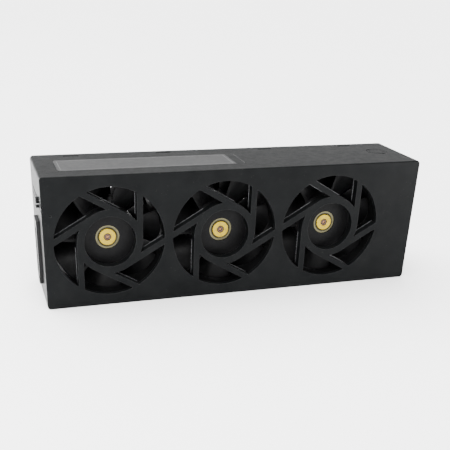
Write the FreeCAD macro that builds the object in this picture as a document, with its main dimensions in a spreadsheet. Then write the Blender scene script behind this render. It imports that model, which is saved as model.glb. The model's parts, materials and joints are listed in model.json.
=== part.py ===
import FreeCAD, Part
import math
import os
import re
import Sketcher

# Server fan module: three 60 mm class axial fans side by side in a snap-together
# plastic casing, with a plug on the left end and a lever handle on the right end.
# Millimetres. X runs along the module, Y from the intake face to the exhaust face,
# Z up. The origin is the middle of the flat base.

# ---------------------------------------------------------------- driving sizes

SIZES = {
    # fans
    "fan_size": 59.8,
    "fan_gap": 0.2,
    "fan_depth": 38.0,
    "fan_clearance": 0.3,
    "head_clearance": 1.45,
    "isolator": 0.85,
    "isolator_length": 8.0,
    # casing
    "wall": 2.4,
    "partition": 1.6,
    "bay_length": 18.4,
    "cover_depth": 6.5,
    "seam_gap": 0.1,
    "corner_radius": 1.8,
    "edge_round": 0.6,
    # intake guard
    "opening_radius": 27.9,
    "ring_outer": 16.6,
    "ring_inner": 13.0,
    "strut_width": 3.0,
    "guard_depth": 4.5,
    # label recess and round mark on the top, gate mark on the front
    "label_left": 10.0,
    "label_front": 10.0,
    "label_length": 96.0,
    "label_width": 21.0,
    "label_recess": 0.2,
    "label_thick": 0.3,
    "mark_radius": 6.0,
    "mark_line": 0.8,
    "mark_recess": 0.25,
    "mark_inset": 13.8,
    "mark_front": 24.0,
    "gate_radius": 0.6,
    "gate_recess": 0.4,
    "gate_left": 4.1,
    "gate_height": 48.6,
    # snap tongues of the shell and their slots in the cover
    "snap_middle": 98.5,
    "snap_inner": 58.0,
    "snap_outer": 156.1,
    "slot_length": 8.0,
    "slot_width": 1.4,
    "slot_front": 39.3,
    "tongue_thick": 1.0,
    "tongue_start": 33.6,
    "tongue_end": 41.6,
    "snap_clearance": 0.1,
    "snap_height": 1.5,
    # finger grooves on the left end
    "groove_width": 0.7,
    "groove_recess": 0.8,
    "groove_height": 54.3,
    "groove_pitch": 1.3,
    "groove_low": 50.8,
    # plug on the left end
    "plug_front": 14.0,
    "plug_width": 11.0,
    "plug_bottom": 12.5,
    "plug_top": 42.0,
    "plug_proud": 1.7,
    "tail_bottom": 8.0,
    "tail_width": 7.0,
    "contact_width": 1.1,
    "contact_pitch": 1.6,
    "contact_thick": 0.4,
    "contact_sink": 0.1,
    "contact_top": 38.0,
    "contact_turn": 10.4,
    "contact_foot": 2.6,
    "fit_clearance": 0.1,
    # wiring board and fan leads
    "board_front": 12.0,
    "board_width": 21.0,
    "board_thick": 0.8,
    "board_tab": 8.0,
    "lead_width": 4.0,
    "lead_thick": 1.0,
    "lead_inset": 0.6,
    # fan frame
    "flange_thick": 4.0,
    "frame_corner": 3.0,
    "bore_radius": 28.6,
    "cup_radius": 15.8,
    "cup_wall": 1.6,
    "cup_length": 11.0,
    "cup_floor": 2.0,
    "vane_depth": 10.0,
    "vane_thick": 1.4,
    "vane_lead": 6.4,
    "vane_trail": 4.0,
    "vane_arc": 15.0,
    "vane_bite": 0.3,
    "lead_vane": 6.6,
    # rotor
    "hub_radius": 16.0,
    "hub_setback": 4.2,
    "hub_length": 20.4,
    "hub_face": 0.6,
    "hub_bevel": 1.1,
    "window_radius": 6.15,
    "tip_radius": 28.0,
    "blade_front": 5.2,
    "blade_back": 24.2,
    "root_plane": 10.0,
    "root_lead": 5.5,
    "root_trail": 3.5,
    "root_thick": 1.8,
    "tip_plane": 29.5,
    "tip_lead": 13.6,
    "tip_trail": 12.2,
    "tip_thick": 1.1,
    "blade_arc": 24.0,
    "yoke_radius": 14.6,
    "yoke_thick": 1.0,
    "yoke_length": 19.2,
    "magnet_thick": 1.6,
    "magnet_front": 8.8,
    "magnet_length": 13.0,
    "bush_radius": 4.5,
    "bush_length": 2.1,
    "bush_proud": 0.35,
    "bush_chamfer": 0.3,
    "dimple_radius": 1.9,
    "dimple_recess": 0.7,
    "shaft_radius": 1.5,
    "shaft_tail": 0.4,
    "clip_radius": 2.4,
    "clip_thick": 0.5,
    "clip_gap": 0.1,
    "press_clearance": 0.02,
    "running_clearance": 0.03,
    # stator
    "bearing_radius": 4.0,
    "bearing_width": 4.0,
    "bearing_front": 7.65,
    "bearing_span": 14.5,
    "tube_radius": 5.0,
    "tube_front": 7.35,
    "collar_wall": 1.5,
    "collar_length": 3.0,
    "air_gap": 0.4,
    "core_middle": 14.8,
    "core_length": 8.0,
    "core_back": 2.0,
    "tooth_width": 2.6,
    "shoe_thick": 1.4,
    "shoe_slot": 1.8,
    "coil_width": 6.8,
    "coil_length": 12.0,
    "coil_radius": 7.2,
    "coil_thick": 2.2,
    "driver_radius": 15.2,
    "driver_thick": 1.2,
    # handle
    "pivot_inset": 4.2,
    "pivot_front": 33.0,
    "pin_radius": 1.5,
    "pin_base": 0.6,
    "pin_roof": 1.1,
    "boss_radius": 3.4,
    "boss_height": 2.0,
    "lever_hub": 3.6,
    "lever_gap": 0.3,
    "lever_plate": 2.4,
    "lever_front": 12.0,
    "lever_web": 2.0,
    "lever_lip": 5.0,
    "lever_web_depth": 7.0,
    "hook_height": 8.0,
    "hook_thick": 2.8,
    "hook_reach": 3.0,
    "hook_clearance": 0.3,
    "hook_swing": 13.2,
}

# Places worked out from the sizes above.
PLACES = {
    "pitch": "fan_size + fan_gap",
    "fan_first": "wall + fan_clearance + fan_size / 2",
    "fan_end": "fan_first + 2 * pitch + fan_size / 2 + fan_clearance",
    "bay_start": "fan_end + partition",
    "case_length": "bay_start + bay_length",
    "case_height": "fan_size + 2 * head_clearance + 2 * wall",
    "case_depth": "fan_depth + 2 * isolator + 2 * wall",
    "axis_height": "case_height / 2",
    "roof": "case_height - wall",
    "seam": "case_depth - cover_depth",
    "back": "case_depth - wall",
    "frame_front": "wall + isolator",
    "frame_back": "frame_front + fan_depth",
    "cup_front": "fan_depth - cup_length",
    "floor_front": "fan_depth - cup_floor",
    "tip_share": "(sqrt(tip_radius ^ 2 - tip_lead ^ 2) - root_plane) / (tip_plane - root_plane)",
    "lead_edge": "root_lead + (tip_lead - root_lead) * tip_share + tip_thick",
    "trail_edge": "root_trail + (tip_trail - root_trail) * tip_share",
    "yoke_front": "hub_setback + hub_face",
    "bush_front": "yoke_front - bush_proud",
    "bearing_back": "bearing_front + bearing_span",
    "clip_front": "bearing_back + bearing_width + clip_gap",
    "shaft_end": "clip_front + clip_thick + shaft_tail",
    "magnet_outer": "yoke_radius - yoke_thick - press_clearance",
    "core_radius": "magnet_outer - magnet_thick - air_gap",
    "core_bore": "tube_radius + press_clearance",
    "plug_middle": "plug_front + plug_width / 2",
    "board_top": "wall + board_thick",
    "lead_front": "floor_front - lead_inset - lead_thick",
    "pivot_left": "case_length - pivot_inset",
    "lever_base": "wall + boss_height + lever_gap",
    "lever_top": "roof - boss_height - lever_gap",
    "plate_out": "lever_hub",
    "plate_in": "lever_hub - lever_plate",
    "hook_tip": "case_depth + hook_reach - pivot_front",
}

FAN_NAMES = ("left", "middle", "right")
BLADE_COUNT = 7
VANE_COUNT = 8
STRUT_COUNT = 6
POLE_COUNT = 4
CONTACT_COUNT = 4
FULL_TURN = 360.0
SMALL = 0.001

doc = FreeCAD.newDocument("ServerFanModule")
sheet = doc.addObject("Spreadsheet::Sheet", "Sizes")
for row, (size_name, size) in enumerate(SIZES.items(), start=1):
    sheet.set(f"A{row}", size_name)
    sheet.set(f"B{row}", str(size))
    sheet.setAlias(f"B{row}", size_name)
doc.recompute()

NODES = []


# ---------------------------------------------------------------- helpers

def formula(text):
    """Turn the size names in a text into references to the sheet."""
    def point(match):
        word = match.group()
        if word in SIZES:
            return "Sizes." + word
        if word in PLACES:
            return "(" + formula(PLACES[word]) + ")"
        return word
    return re.sub(r"[a-z_]+", point, text)


def bind(target, values):
    """Bind properties of an object to formulas."""
    for prop, text in values.items():
        target.setExpression(prop, formula(text))


def number(text):
    """Value of a formula now, used to start sketch geometry near its solution."""
    result = sheet.evalExpression(formula(text))
    return float(getattr(result, "Value", result))


def new_body(node, x="0", y="0", z="0"):
    """Start a sub-part whose own origin sits at x, y, z from the casing's front left base corner."""
    body = doc.addObject("PartDesign::Body", node)
    body.Label = node
    body.AllowCompound = True
    bind(body, {
        "Placement.Base.x": f"({x}) - case_length / 2",
        "Placement.Base.y": f"({y}) - case_depth / 2",
        "Placement.Base.z": z,
    })
    NODES.append(body)
    return body


def fan_body(node, index):
    """Start a sub-part on a fan's axis, at the front face of its frame."""
    return new_body(node, f"fan_first + {index} * pitch", "frame_front", "axis_height")


def origin_part(body, role):
    return next(part for part in body.Origin.OriginFeatures if part.Role == role)


def new_sketch(body, role, x="0", y="0", out="0"):
    """Sketch on an origin plane, its own origin moved by x, y in the plane and out along the normal."""
    sketch = body.newObject("Sketcher::SketchObject", "Sketch")
    sketch.AttachmentSupport = [(origin_part(body, role), "")]
    sketch.MapMode = "FlatFace"
    bind(sketch, {
        "AttachmentOffset.Base.x": x,
        "AttachmentOffset.Base.y": y,
        "AttachmentOffset.Base.z": out,
    })
    return sketch


def front_sketch(body, depth="0", x="0", z="0"):
    """Sketch facing the intake side, at a depth behind the body's origin."""
    return new_sketch(body, "XZ_Plane", x, z, f"-({depth})")


def turn_sketch(sketch, angle):
    """Turn a sketch in its own plane, so that no seam of its circles crosses a blade or a tooth."""
    sketch.setExpression("AttachmentOffset.Rotation.Angle", formula(angle))


def pin_point(sketch, geometry, point, x, y):
    """Hold one point of a sketch at x, y."""
    for kind, text in (("DistanceX", x), ("DistanceY", y)):
        index = sketch.addConstraint(Sketcher.Constraint(kind, -1, 1, geometry, point, number(text)))
        sketch.setExpression(f"Constraints[{index}]", formula(text))


def hold_radius(sketch, geometry, radius):
    index = sketch.addConstraint(Sketcher.Constraint("Radius", geometry, number(radius)))
    sketch.setExpression(f"Constraints[{index}]", formula(radius))


def polygon(sketch, corners):
    """Closed outline of straight lines through the corners."""
    first = sketch.GeometryCount
    count = len(corners)
    spots = [FreeCAD.Vector(number(x), number(y), 0) for x, y in corners]
    for index in range(count):
        sketch.addGeometry(Part.LineSegment(spots[index], spots[(index + 1) % count]))
    for index in range(count):
        after = first + (index + 1) % count
        sketch.addConstraint(Sketcher.Constraint("Coincident", first + index, 2, after, 1))
    for index, (x, y) in enumerate(corners):
        pin_point(sketch, first + index, 1, x, y)
    return sketch


def rectangle(sketch, left, bottom, right, top):
    return polygon(sketch, [(left, bottom), (right, bottom), (right, top), (left, top)])


def circle(sketch, x, y, radius):
    index = sketch.addGeometry(Part.Circle(
        FreeCAD.Vector(number(x), number(y), 0), FreeCAD.Vector(0, 0, 1), number(radius)))
    pin_point(sketch, index, 3, x, y)
    hold_radius(sketch, index, radius)
    return sketch


def rounded_rectangle(sketch, left, bottom, right, top, radius):
    """Rectangle whose corners are arcs, drawn anticlockwise from the lower left corner."""
    first = sketch.GeometryCount
    bend = number(radius)
    sides = [(left, bottom, 1, 1, 180), (right, bottom, -1, 1, 270),
             (right, top, -1, -1, 0), (left, top, 1, -1, 90)]
    for x, y, step_x, step_y, start in sides:
        middle = FreeCAD.Vector(number(x) + step_x * bend, number(y) + step_y * bend, 0)
        rim = Part.Circle(middle, FreeCAD.Vector(0, 0, 1), bend)
        sketch.addGeometry(Part.ArcOfCircle(rim, math.radians(start), math.radians(start + 90)))
    for index in range(4):
        here = sketch.getPoint(first + index, 2)
        there = sketch.getPoint(first + (index + 1) % 4, 1)
        sketch.addGeometry(Part.LineSegment(here, there))
    for index, (x, y, step_x, step_y, start) in enumerate(sides):
        line = first + 4 + index
        after = first + (index + 1) % 4
        sketch.addConstraint(Sketcher.Constraint("Tangent", first + index, 2, line, 1))
        sketch.addConstraint(Sketcher.Constraint("Tangent", line, 2, after, 1))
        pin_point(sketch, first + index, 3, f"({x}) + {step_x} * {radius}", f"({y}) + {step_y} * {radius}")
        hold_radius(sketch, first + index, radius)
    return sketch


def bent_strip(sketch, start, end, thick, radius):
    """Curved strip between two points: two arcs bulging towards the lower left, closed by short ends."""
    first = sketch.GeometryCount
    size = number(radius)
    for shift in ("0", thick):
        head = FreeCAD.Vector(number(start[0]), number(f"({start[1]}) + {shift}"), 0)
        tail = FreeCAD.Vector(number(end[0]), number(f"({end[1]}) + {shift}"), 0)
        chord = tail - head
        side = FreeCAD.Vector(-chord.y, chord.x, 0).normalize()
        middle = (head + tail) / 2 + side * math.sqrt(size ** 2 - chord.Length ** 2 / 4)
        from_middle = [math.atan2(spot.y - middle.y, spot.x - middle.x) for spot in (head, tail)]
        rim = Part.Circle(middle, FreeCAD.Vector(0, 0, 1), size)
        sketch.addGeometry(Part.ArcOfCircle(rim, from_middle[0], from_middle[1]))
    for point in (1, 2):
        sketch.addGeometry(Part.LineSegment(sketch.getPoint(first, point), sketch.getPoint(first + 1, point)))
        line = first + 1 + point
        sketch.addConstraint(Sketcher.Constraint("Coincident", first, point, line, 1))
        sketch.addConstraint(Sketcher.Constraint("Coincident", first + 1, point, line, 2))
    for arc, shift in ((first, "0"), (first + 1, thick)):
        pin_point(sketch, arc, 1, start[0], f"({start[1]}) + {shift}")
        pin_point(sketch, arc, 2, end[0], f"({end[1]}) + {shift}")
        hold_radius(sketch, arc, radius)
    return sketch


def pad(body, sketch, length, back=False, both=False):
    """Add the sketch's outline, along its normal, against it (back) or half each way (both)."""
    feature = body.newObject("PartDesign::Pad", "Pad")
    feature.Profile = sketch
    feature.Reversed = back
    feature.Midplane = both
    bind(feature, {"Length": length})
    return feature


def cut(body, sketch, length, back=False, both=False):
    """Remove the sketch's outline, against its normal, along it (back) or half each way (both)."""
    feature = body.newObject("PartDesign::Pocket", "Pocket")
    feature.Profile = sketch
    feature.Reversed = back
    feature.Midplane = both
    bind(feature, {"Length": length})
    return feature


def turned(body, corners):
    """Turn a profile of (radius, depth) corners round the body's Y axis."""
    feature = body.newObject("PartDesign::Revolution", "Turned")
    feature.Profile = polygon(new_sketch(body, "XY_Plane"), corners)
    feature.ReferenceAxis = (origin_part(body, "Y_Axis"), [""])
    feature.Angle = FULL_TURN
    return feature


def polar(body, originals, count, axis):
    pattern = body.newObject("PartDesign::PolarPattern", "Polar")
    pattern.Originals = originals
    pattern.Axis = axis
    pattern.Angle = FULL_TURN
    pattern.Occurrences = count
    body.Tip = pattern
    return pattern


def linear(body, originals, count, step, role="X_Axis"):
    pattern = body.newObject("PartDesign::LinearPattern", "Linear")
    pattern.Originals = originals
    pattern.Direction = (origin_part(body, role), [""])
    pattern.Mode = "Spacing"
    pattern.Occurrences = count
    bind(pattern, {"Offset": step})
    body.Tip = pattern
    return pattern


def edges_at(feature, test):
    """Names of the feature's edges whose middle passes the test."""
    found = []
    for index, edge in enumerate(feature.Shape.Edges, start=1):
        if test(edge):
            found.append(f"Edge{index}")
    return found


def round_edges(body, feature, names, radius):
    fillet = body.newObject("PartDesign::Fillet", "Fillet")
    fillet.Base = (feature, names)
    bind(fillet, {"Radius": radius})
    return fillet


# ---------------------------------------------------------------- casing

def snap_places():
    """Left-hand distances of the four snaps."""
    return [f"snap_middle {side} {span} / 2"
            for span in ("snap_outer", "snap_inner") for side in ("-", "+")]


def front_shell():
    """Deep moulded box, open at the back, with the intake guards in its front wall."""
    body = new_body("front_shell")
    outline = rounded_rectangle(front_sketch(body), "0", "0", "case_length", "case_height", "corner_radius")
    block = pad(body, outline, "seam", back=True)
    doc.recompute()
    rim = edges_at(block, lambda edge: edge.BoundBox.YMax < SMALL)
    round_edges(body, block, rim, "edge_round")

    fan_bay = rectangle(front_sketch(body, "wall"), "wall", "wall", "fan_end", "roof")
    cut(body, fan_bay, "case_depth")
    lever_bay = rectangle(front_sketch(body, "wall"), "bay_start", "wall", "case_length + wall", "roof")
    cut(body, lever_bay, "case_depth")
    for index in range(len(FAN_NAMES)):
        middle = f"fan_first + {index} * pitch"
        opening = circle(front_sketch(body, "0", middle, "axis_height"), "0", "0", "opening_radius")
        cut(body, opening, "wall")

    # Guard: a hub ring carried by six straight struts, each tangent to the ring.
    rings = []
    for index in range(len(FAN_NAMES)):
        middle = f"fan_first + {index} * pitch"
        inner = "(ring_outer - strut_width)"
        bar = front_sketch(body, "0", middle, "axis_height")
        polygon(bar, [
            (inner, "0"),
            ("ring_outer", "0"),
            ("ring_outer", "sqrt((opening_radius - fit_clearance) ^ 2 - ring_outer ^ 2)"),
            (inner, f"sqrt((opening_radius - fit_clearance) ^ 2 - {inner} ^ 2)"),
        ])
        root = front_sketch(body, "0", middle, "axis_height")
        rectangle(root, inner, "0", "ring_outer", f"sqrt(opening_radius ^ 2 - {inner} ^ 2)")
        strut = [pad(body, bar, "guard_depth", back=True), pad(body, root, "wall", back=True)]
        polar(body, strut, STRUT_COUNT, (bar, ["N_Axis"]))
        ring = front_sketch(body, "0", middle, "axis_height")
        circle(ring, "0", "0", "ring_outer")
        rings.append(pad(body, ring, "guard_depth", back=True))
        bore = front_sketch(body, "0", middle, "axis_height")
        circle(bore, "0", "0", "ring_inner")
        cut(body, bore, "guard_depth")

    # Snap tongues inside the top and bottom walls.
    for place in snap_places():
        side = new_sketch(body, "YZ_Plane", out=place)
        for base, way in (("roof", "-"), ("wall", "+")):
            polygon(side, [
                ("tongue_start", f"{base} {way} (0 - snap_clearance)"),
                ("seam - snap_clearance", f"{base} {way} (0 - snap_clearance)"),
                ("seam - snap_clearance", f"{base} {way} snap_clearance"),
                ("slot_front + snap_clearance", f"{base} {way} snap_clearance"),
                ("slot_front + snap_clearance", f"{base} {way} (0 - snap_height)"),
                ("slot_front + slot_width - snap_clearance", f"{base} {way} (0 - snap_height / 2)"),
                ("slot_front + slot_width - snap_clearance", f"{base} {way} snap_clearance"),
                ("tongue_end", f"{base} {way} snap_clearance"),
                ("tongue_end", f"{base} {way} (snap_clearance + tongue_thick)"),
                ("tongue_start", f"{base} {way} (snap_clearance + tongue_thick)"),
            ])
        pad(body, side, "slot_length - 2 * snap_clearance", both=True)

    # Recess for the label, round mark on the top and gate mark on the front.
    recess = new_sketch(body, "XY_Plane", out="case_height")
    rectangle(recess, "label_left", "label_front", "label_left + label_length", "label_front + label_width")
    cut(body, recess, "label_recess")
    mark = new_sketch(body, "XY_Plane", out="case_height")
    circle(mark, "case_length - mark_inset", "mark_front", "mark_radius")
    circle(mark, "case_length - mark_inset", "mark_front", "mark_radius - mark_line")
    cut(body, mark, "mark_recess")
    gate = circle(front_sketch(body), "gate_left", "gate_height", "gate_radius")
    cut(body, gate, "gate_recess")

    # Finger grooves along the left end.
    grooves = front_sketch(body)
    for height in ("groove_height", "groove_height - groove_pitch", "groove_low"):
        rectangle(grooves, "-groove_recess", f"{height} - groove_width / 2",
                  "groove_recess", f"{height} + groove_width / 2")
    cut(body, grooves, "seam")

    # Window for the plug and a channel inside the wall for its contact tails.
    plug_outline(new_sketch(body, "YZ_Plane"), "fit_clearance")
    cut(body, body.Group[-1], "wall", back=True)
    channel = new_sketch(body, "YZ_Plane", out="wall / 2")
    rectangle(channel, "plug_middle - tail_width / 2", "wall",
              "plug_middle + tail_width / 2", "plug_bottom")
    cut(body, channel, "wall / 2", back=True)

    # Bosses and holes for the handle's pin.
    low_boss = circle(new_sketch(body, "XY_Plane", out="wall"), "pivot_left", "pivot_front", "boss_radius")
    pad(body, low_boss, "boss_height")
    high_boss = circle(new_sketch(body, "XY_Plane", out="roof"), "pivot_left", "pivot_front", "boss_radius")
    pad(body, high_boss, "boss_height", back=True)
    pin_hole = new_sketch(body, "XY_Plane")
    circle(pin_hole, "pivot_left", "pivot_front", "pin_radius + press_clearance")
    body.Tip = cut(body, pin_hole, "case_height - pin_roof", back=True)


def plug_outline(sketch, margin):
    """Outline of the plug seen from the left end: a tall block with a narrower foot."""
    return polygon(sketch, [
        (f"plug_middle - tail_width / 2 - {margin}", f"tail_bottom - {margin}"),
        (f"plug_middle + tail_width / 2 + {margin}", f"tail_bottom - {margin}"),
        (f"plug_middle + tail_width / 2 + {margin}", f"plug_bottom - {margin}"),
        (f"plug_middle + plug_width / 2 + {margin}", f"plug_bottom - {margin}"),
        (f"plug_middle + plug_width / 2 + {margin}", f"plug_top + {margin}"),
        (f"plug_middle - plug_width / 2 - {margin}", f"plug_top + {margin}"),
        (f"plug_middle - plug_width / 2 - {margin}", f"plug_bottom - {margin}"),
        (f"plug_middle - tail_width / 2 - {margin}", f"plug_bottom - {margin}"),
    ])


def rear_cover():
    """Shallow lid with the exhaust openings, held by the shell's snap tongues."""
    body = new_body("rear_cover")
    outline = front_sketch(body, "seam + seam_gap")
    rounded_rectangle(outline, "0", "0", "case_length", "case_height", "corner_radius")
    block = pad(body, outline, "cover_depth - seam_gap", back=True)
    doc.recompute()
    rim = edges_at(block, lambda edge: edge.BoundBox.YMin > number("case_depth") - SMALL)
    round_edges(body, block, rim, "edge_round")
    hollow = front_sketch(body, "seam")
    rectangle(hollow, "wall", "wall", "case_length - wall", "roof")
    cut(body, hollow, "back - seam")
    opening = front_sketch(body, "seam", "fan_first", "axis_height")
    circle(opening, "0", "0", "opening_radius")
    linear(body, [cut(body, opening, "cover_depth")], len(FAN_NAMES), "pitch")

    slots = new_sketch(body, "XY_Plane")
    for place in snap_places():
        rectangle(slots, f"{place} - slot_length / 2", "slot_front",
                  f"{place} + slot_length / 2", "slot_front + slot_width")
    cut(body, slots, "case_height", back=True)

    hook_slot = front_sketch(body, "seam", "pivot_left", "axis_height")
    rectangle(hook_slot, "-hook_swing", "-(hook_height / 2 + hook_clearance)",
              "hook_thick / 2 + hook_clearance", "hook_height / 2 + hook_clearance")
    body.Tip = cut(body, hook_slot, "cover_depth")


def label_blank():
    """Bare label in its recess on the top."""
    body = new_body("label_blank")
    sketch = new_sketch(body, "XY_Plane", out="case_height - label_recess")
    rectangle(sketch, "label_left + fit_clearance", "label_front + fit_clearance",
              "label_left + label_length - fit_clearance", "label_front + label_width - fit_clearance")
    body.Tip = pad(body, sketch, "label_thick")


def isolators(node, front):
    """Rubber corner pieces between the fan frames and the casing: L-shaped in front, flat behind."""
    body = new_body(node, "fan_first", "0", "axis_height")
    inset = "fan_size / 2 - flange_thick - frame_corner"
    side = new_sketch(body, "YZ_Plane", out=f"0 - ({inset})")
    edge = "fan_size / 2"
    if front:
        polygon(side, [
            ("wall", f"{edge} + head_clearance"),
            ("wall", f"{edge} - flange_thick"),
            ("frame_front", f"{edge} - flange_thick"),
            ("frame_front", edge),
            ("frame_front + flange_thick", edge),
            ("frame_front + flange_thick", f"{edge} + head_clearance"),
        ])
    else:
        rectangle(side, "frame_back", f"{edge} - flange_thick", "back", edge)
    piece = body.newObject("PartDesign::Pad", "Pad")
    piece.Profile = side
    piece.Midplane = True
    bind(piece, {"Length": "isolator_length"})
    patterned = body.newObject("PartDesign::MultiTransform", "Corners")
    patterned.Originals = [piece]
    across = body.newObject("PartDesign::LinearPattern", "Across")
    across.Direction = (origin_part(body, "X_Axis"), [""])
    across.Mode = "Spacing"
    across.Occurrences = 2
    bind(across, {"Offset": f"2 * ({inset})"})
    along = body.newObject("PartDesign::LinearPattern", "Along")
    along.Direction = (origin_part(body, "X_Axis"), [""])
    along.Mode = "Spacing"
    along.Occurrences = len(FAN_NAMES)
    bind(along, {"Offset": "pitch"})
    flipped = body.newObject("PartDesign::Mirrored", "Flipped")
    flipped.MirrorPlane = (origin_part(body, "XY_Plane"), [""])
    patterned.Transformations = [across, along, flipped]
    body.Tip = patterned


# ---------------------------------------------------------------- plug and wiring

def contact_outline(sketch, margin):
    """Side view of one contact: outer leaf, turn through the plug, tail and foot on the board."""
    leaf = "contact_sink - plug_proud"
    tail = "wall - contact_thick - contact_sink"
    return polygon(sketch, [
        (f"{leaf} - {margin}", f"contact_top + {margin}"),
        (f"{leaf} - {margin}", f"contact_turn - {margin}"),
        (f"{tail} - {margin}", f"contact_turn - {margin}"),
        (f"{tail} - {margin}", "board_top"),
        (f"{tail} + contact_foot", "board_top"),
        (f"{tail} + contact_foot", "board_top + contact_thick"),
        (f"{tail} + contact_thick + {margin}", "board_top + contact_thick"),
        (f"{tail} + contact_thick + {margin}", f"contact_turn + contact_thick + {margin}"),
        (f"{leaf} + contact_thick + {margin}", f"contact_turn + contact_thick + {margin}"),
        (f"{leaf} + contact_thick + {margin}", f"contact_top + {margin}"),
    ])


def plug_block():
    """Plug housing set in the left wall, slotted for its contacts."""
    body = new_body("plug_block")
    outline = plug_outline(new_sketch(body, "YZ_Plane", out="0 - plug_proud"), "0")
    pad(body, outline, "plug_proud + wall")
    first = f"plug_middle - contact_pitch * {CONTACT_COUNT - 1} / 2"
    slot = contact_outline(front_sketch(body, first), "fit_clearance")
    linear(body, [cut(body, slot, "contact_width + 2 * fit_clearance", both=True)],
           CONTACT_COUNT, "contact_pitch", "Y_Axis")


def plug_contacts():
    body = new_body("plug_contacts")
    first = f"plug_middle - contact_pitch * {CONTACT_COUNT - 1} / 2"
    strip = contact_outline(front_sketch(body, first), "0")
    linear(body, [pad(body, strip, "contact_width", both=True)], CONTACT_COUNT, "contact_pitch", "Y_Axis")


def wiring_board():
    """Thin circuit board on the floor under the fans, with a tab behind each fan."""
    body = new_body("wiring_board")
    strip = new_sketch(body, "XY_Plane", out="wall")
    rectangle(strip, "wall + fit_clearance", "board_front",
              "fan_end - fit_clearance", "board_front + board_width")
    pad(body, strip, "board_thick")
    tab = new_sketch(body, "XY_Plane", x="fan_first", out="wall")
    rectangle(tab, "-board_tab / 2", "board_front + board_width - wall", "board_tab / 2", "frame_back")
    linear(body, [pad(body, tab, "board_thick")], len(FAN_NAMES), "pitch")


def fan_leads():
    """Flat four-wire leads, one down the lowest vane of each fan to the wiring board."""
    body = new_body("fan_leads", "fan_first", "frame_front", "axis_height")
    side = new_sketch(body, "YZ_Plane")
    high = "0 - (tube_radius + collar_wall + lead_thick)"
    polygon(side, [
        ("lead_front", "board_top - axis_height"),
        ("lead_front + lead_thick", "board_top - axis_height"),
        ("lead_front + lead_thick", high),
        ("cup_front", high),
        ("cup_front", f"{high} - lead_thick"),
        ("lead_front", f"{high} - lead_thick"),
    ])
    linear(body, [pad(body, side, "lead_width", both=True)], len(FAN_NAMES), "pitch")


# ---------------------------------------------------------------- fans: fixed pieces

def fan_frame(index):
    """Square-flanged duct with the motor cup held by curved outlet vanes."""
    body = fan_body("fan_frame_" + FAN_NAMES[index], index)
    half = "fan_size / 2"
    for depth in ("0", "fan_depth - flange_thick"):
        flange = rounded_rectangle(front_sketch(body, depth), f"0 - {half}", f"0 - {half}",
                                   half, half, "frame_corner")
        pad(body, flange, "flange_thick", back=True)
    barrel = circle(front_sketch(body), "0", "0", f"{half}")
    pad(body, barrel, "fan_depth", back=True)
    bore = circle(front_sketch(body), "0", "0", "bore_radius")
    cut(body, bore, "fan_depth")

    vane_root = "(cup_radius - cup_wall / 2)"
    vane_end = "(bore_radius + vane_bite)"
    vane = new_sketch(body, "YZ_Plane", out=vane_root)
    bent_strip(vane, ("fan_depth", "vane_trail"), ("fan_depth - vane_depth", "0 - vane_lead"),
               "vane_thick", "vane_arc")
    polar(body, [pad(body, vane, f"{vane_end} - {vane_root}")], VANE_COUNT,
          (origin_part(body, "Y_Axis"), [""]))
    trunk = front_sketch(body, "fan_depth - vane_depth")
    rectangle(trunk, "0 - lead_vane / 2", f"0 - {vane_end}", "lead_vane / 2", f"0 - {vane_root}")
    pad(body, trunk, "vane_depth", back=True)
    turned(body, [
        ("cup_radius - cup_wall", "cup_front"),
        ("cup_radius", "cup_front"),
        ("cup_radius", "fan_depth"),
        ("0", "fan_depth"),
        ("0", "floor_front"),
        ("tube_radius + press_clearance", "floor_front"),
        ("tube_radius + press_clearance", "floor_front - collar_length"),
        ("tube_radius + collar_wall", "floor_front - collar_length"),
        ("tube_radius + collar_wall", "floor_front"),
        ("cup_radius - cup_wall", "floor_front"),
    ])

    channel = front_sketch(body, "lead_front - fit_clearance")
    rectangle(channel, "0 - (lead_width / 2 + fit_clearance)", f"0 - {half} - wall",
              "lead_width / 2 + fit_clearance", "0 - (cup_radius - cup_wall - lead_thick)")
    body.Tip = cut(body, channel, "lead_thick + 2 * fit_clearance + cup_floor + lead_inset")


def bearing_tube(index):
    """Brass sleeve standing on the motor cup's floor, round both bearings."""
    body = fan_body("bearing_tube_" + FAN_NAMES[index], index)
    seat = "bearing_radius + press_clearance"
    body.Tip = turned(body, [
        (seat, "tube_front"),
        ("tube_radius", "tube_front"),
        ("tube_radius", "floor_front"),
        (seat, "floor_front"),
    ])


def bearings(index):
    """Front and rear ball bearings of one fan, each a plain ring."""
    body = fan_body("bearings_" + FAN_NAMES[index], index)
    bore = "shaft_radius + running_clearance"
    front = turned(body, [
        (bore, "bearing_front"),
        ("bearing_radius", "bearing_front"),
        ("bearing_radius", "bearing_front + bearing_width"),
        (bore, "bearing_front + bearing_width"),
    ])
    linear(body, [front], 2, "bearing_span", "Y_Axis")


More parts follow.
